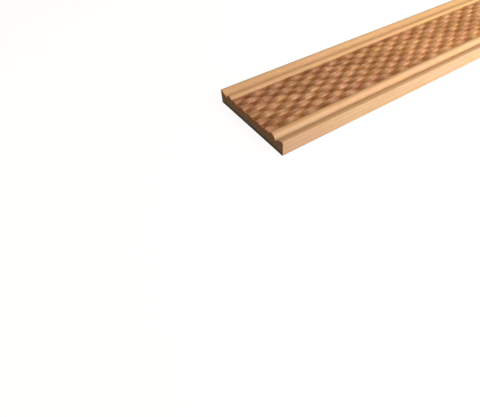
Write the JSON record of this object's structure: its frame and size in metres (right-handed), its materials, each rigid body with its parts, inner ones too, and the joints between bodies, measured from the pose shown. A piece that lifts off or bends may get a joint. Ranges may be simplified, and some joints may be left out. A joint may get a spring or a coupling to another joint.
{
  "type": "embossed wood moulding",
  "caption": "Straight length of hardwood trim with sloped borders, round beads and a sunk field pressed with a basket-weave pattern, to glue or pin to a flat surface.",
  "frame": {"origin": "centre of the flat back face", "axes": "+X along the length, +Y across the width, +Z out through the decorated face"},
  "size_m": [2.4384, 0.0888, 0.0127],
  "materials": {
    "wood": "bare sanded hardwood, hot-pressed and darker in the woven field"
  },
  "bodies": {
    "root": {"moulding": "wood"}
  },
  "joints": []
}
